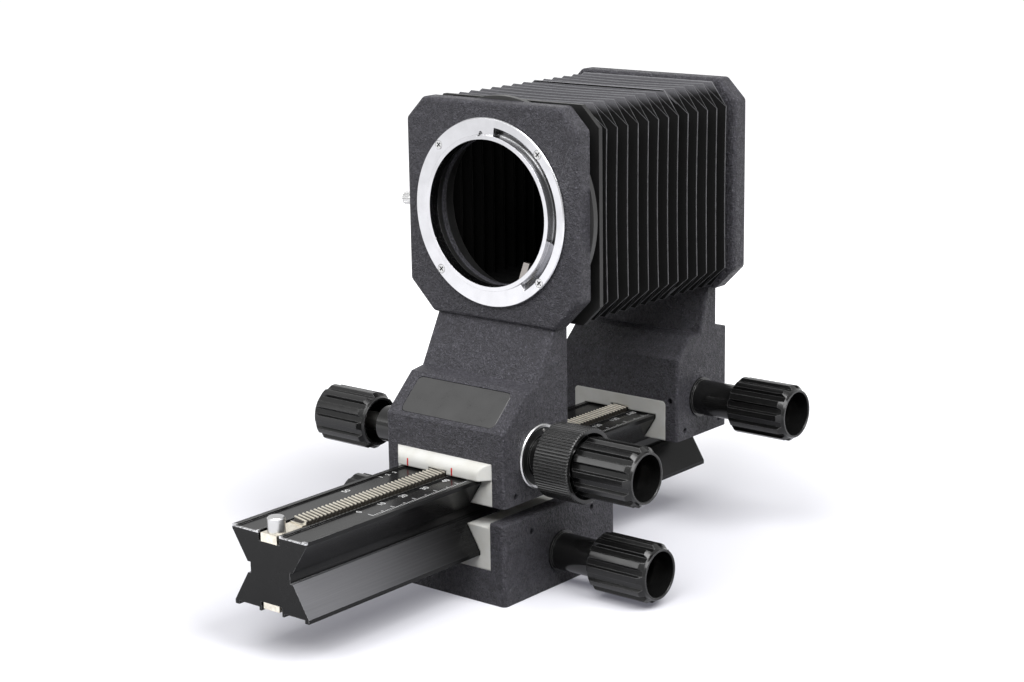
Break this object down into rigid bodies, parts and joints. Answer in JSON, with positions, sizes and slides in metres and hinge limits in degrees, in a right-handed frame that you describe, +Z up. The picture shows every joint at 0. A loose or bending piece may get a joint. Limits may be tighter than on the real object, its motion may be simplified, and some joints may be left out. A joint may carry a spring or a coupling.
{
  "type": "macro bellows unit",
  "caption": "Macro bellows unit: lens board and camera board slide on a geared dovetail rail, joined by a pleated bellows, over a geared tripod carriage.",
  "frame": {"origin": "centre of the carriage's bottom face, on the tripod socket's axis", "axes": "+X towards the driving knobs, +Y from the lens end to the camera end along the rail, +Z up"},
  "size_m": [0.1345, 0.2067, 0.1586],
  "materials": {
    "crinkle_paint": "black crinkle paint",
    "nylon": "natural nylon",
    "black_anodised": "satin black with fine lengthwise grain",
    "rack_alloy": "milled",
    "chrome": "bright chrome",
    "knob_black": "glossy black",
    "sleeve_black": "gloss black",
    "satin_black": "satin black",
    "bellows_cloth": "folded coated cloth",
    "steel": "turned steel",
    "pinion_brass": "cut brass",
    "plate_black": "plain black plate"
  },
  "bodies": {
    "carriage": {"carriage_housing": "crinkle_paint", "carriage_insert": "nylon", "tripod_bush": "steel", "carriage_grub_screws": "steel", "carriage_sleeve_right": "sleeve_black", "carriage_sleeve_left": "sleeve_black"},
    "rail": {"rail": "black_anodised", "upper_rack": "rack_alloy", "lower_rack": "rack_alloy", "stop_pins": "chrome", "rack_stop_screws": "steel"},
    "front_standard": {"front_casting": "crinkle_paint", "front_insert": "nylon", "front_grub_screws": "steel", "nameplate": "plate_black", "lens_ring": "chrome", "lens_ring_screws": "chrome", "cable_socket": "chrome", "retaining_disc": "satin_black", "seat_ring": "chrome", "seat_plate": "plate_black", "seat_screws": "steel", "bellows_front_frame": "satin_black", "front_sleeve_right": "sleeve_black", "front_sleeve_left": "sleeve_black"},
    "rear_standard": {"rear_casting": "crinkle_paint", "rear_insert": "nylon", "rear_insert_screw": "steel", "rear_grub_screws": "steel", "bellows_rear_frame": "satin_black", "bellows": "bellows_cloth", "rear_sleeve_right": "sleeve_black", "rear_sleeve_left": "sleeve_black"},
    "carriage_drive": {"carriage_shaft": "steel", "carriage_pinion": "pinion_brass", "carriage_knob": "knob_black", "carriage_knob_screw": "steel"},
    "carriage_lock": {"carriage_lock_stud": "steel", "carriage_lock_knob": "knob_black"},
    "front_drive": {"front_shaft": "steel", "front_pinion": "pinion_brass", "front_knob": "knob_black", "front_knob_screw": "steel"},
    "front_lock": {"front_lock_stud": "steel", "front_lock_knob": "knob_black"},
    "front_friction": {"friction_ring": "knob_black"},
    "rear_drive": {"rear_shaft": "steel", "rear_pinion": "pinion_brass", "rear_knob": "knob_black", "rear_knob_screw": "steel"},
    "rear_lock": {"rear_lock_stud": "steel", "rear_lock_knob": "knob_black"},
    "aperture": {"aperture_ring": "satin_black", "aperture_lever": "steel"},
    "release": {"release_plunger": "steel"},
    "turntable": {"camera_turntable": "satin_black", "turntable_retainer": "satin_black", "camera_bayonet": "chrome", "camera_bayonet_screws": "chrome"},
    "turntable_clamp": {"turntable_lock": "steel"}
  },
  "joints": [
    {"name": "rail_slide", "type": "slide", "parent": "carriage", "child": "rail", "axis": [0, 1, 0], "range_m": [-0.053, 0.062]},
    {"name": "front_slide", "type": "slide", "parent": "rail", "child": "front_standard", "axis": [0, 1, 0], "range_m": [-0.069, 0.027], "deforming": ["bellows"]},
    {"name": "rear_slide", "type": "slide", "parent": "rail", "child": "rear_standard", "axis": [0, 1, 0], "range_m": [-0.018, 0], "deforming": ["bellows"]},
    {"name": "carriage_drive_turn", "type": "hinge", "parent": "carriage", "child": "carriage_drive", "pos_m": [0, 0, 0.0114], "axis": [1, 0, 0], "range_deg": [-810, 695]},
    {"name": "carriage_lock_turn", "type": "hinge", "parent": "carriage", "child": "carriage_lock", "pos_m": [0, 0, 0.0114], "axis": [1, 0, 0], "range_deg": [0, 120]},
    {"name": "front_drive_turn", "type": "hinge", "parent": "front_standard", "child": "front_drive", "pos_m": [0, -0.01, 0.04597], "axis": [1, 0, 0], "range_deg": [-360, 940]},
    {"name": "front_lock_turn", "type": "hinge", "parent": "front_standard", "child": "front_lock", "pos_m": [0, -0.01, 0.04597], "axis": [1, 0, 0], "range_deg": [0, 120]},
    {"name": "front_friction_turn", "type": "hinge", "parent": "front_standard", "child": "front_friction", "pos_m": [0, -0.01, 0.04597], "axis": [1, 0, 0], "range_deg": [0, 90]},
    {"name": "rear_drive_turn", "type": "hinge", "parent": "rear_standard", "child": "rear_drive", "pos_m": [0, 0.0812, 0.04597], "axis": [1, 0, 0], "range_deg": [-10, 245]},
    {"name": "rear_lock_turn", "type": "hinge", "parent": "rear_standard", "child": "rear_lock", "pos_m": [0, 0.0812, 0.04597], "axis": [1, 0, 0], "range_deg": [0, 120]},
    {"name": "release_push", "type": "slide", "parent": "front_standard", "child": "release", "axis": [1, 0, 0], "range_m": [0, 0.0013], "stiffness_N_per_m": 200},
    {"name": "aperture_turn", "type": "hinge", "parent": "front_standard", "child": "aperture", "pos_m": [0, 0, 0.1214], "axis": [0, -1, 0], "range_deg": [0, 5.1]},
    {"name": "turntable_turn", "type": "hinge", "parent": "rear_standard", "child": "turntable", "pos_m": [0, 0, 0.1214], "axis": [0, 1, 0], "range_deg": [-90, 90]},
    {"name": "turntable_clamp_turn", "type": "hinge", "parent": "rear_standard", "child": "turntable_clamp", "pos_m": [0, 0.08705, 0.1214], "axis": [1, 0, 0], "range_deg": [0, 120]}
  ],
  "couplings": [
    {"joint": "carriage_drive_turn", "follows": "rail_slide", "rad_per_m": -223.83},
    {"joint": "front_drive_turn", "follows": "front_slide", "rad_per_m": -223.83},
    {"joint": "rear_drive_turn", "follows": "rear_slide", "rad_per_m": -223.83},
    {"joint": "aperture_turn", "follows": "release_push", "rad_per_m": 67.13}
  ]
}
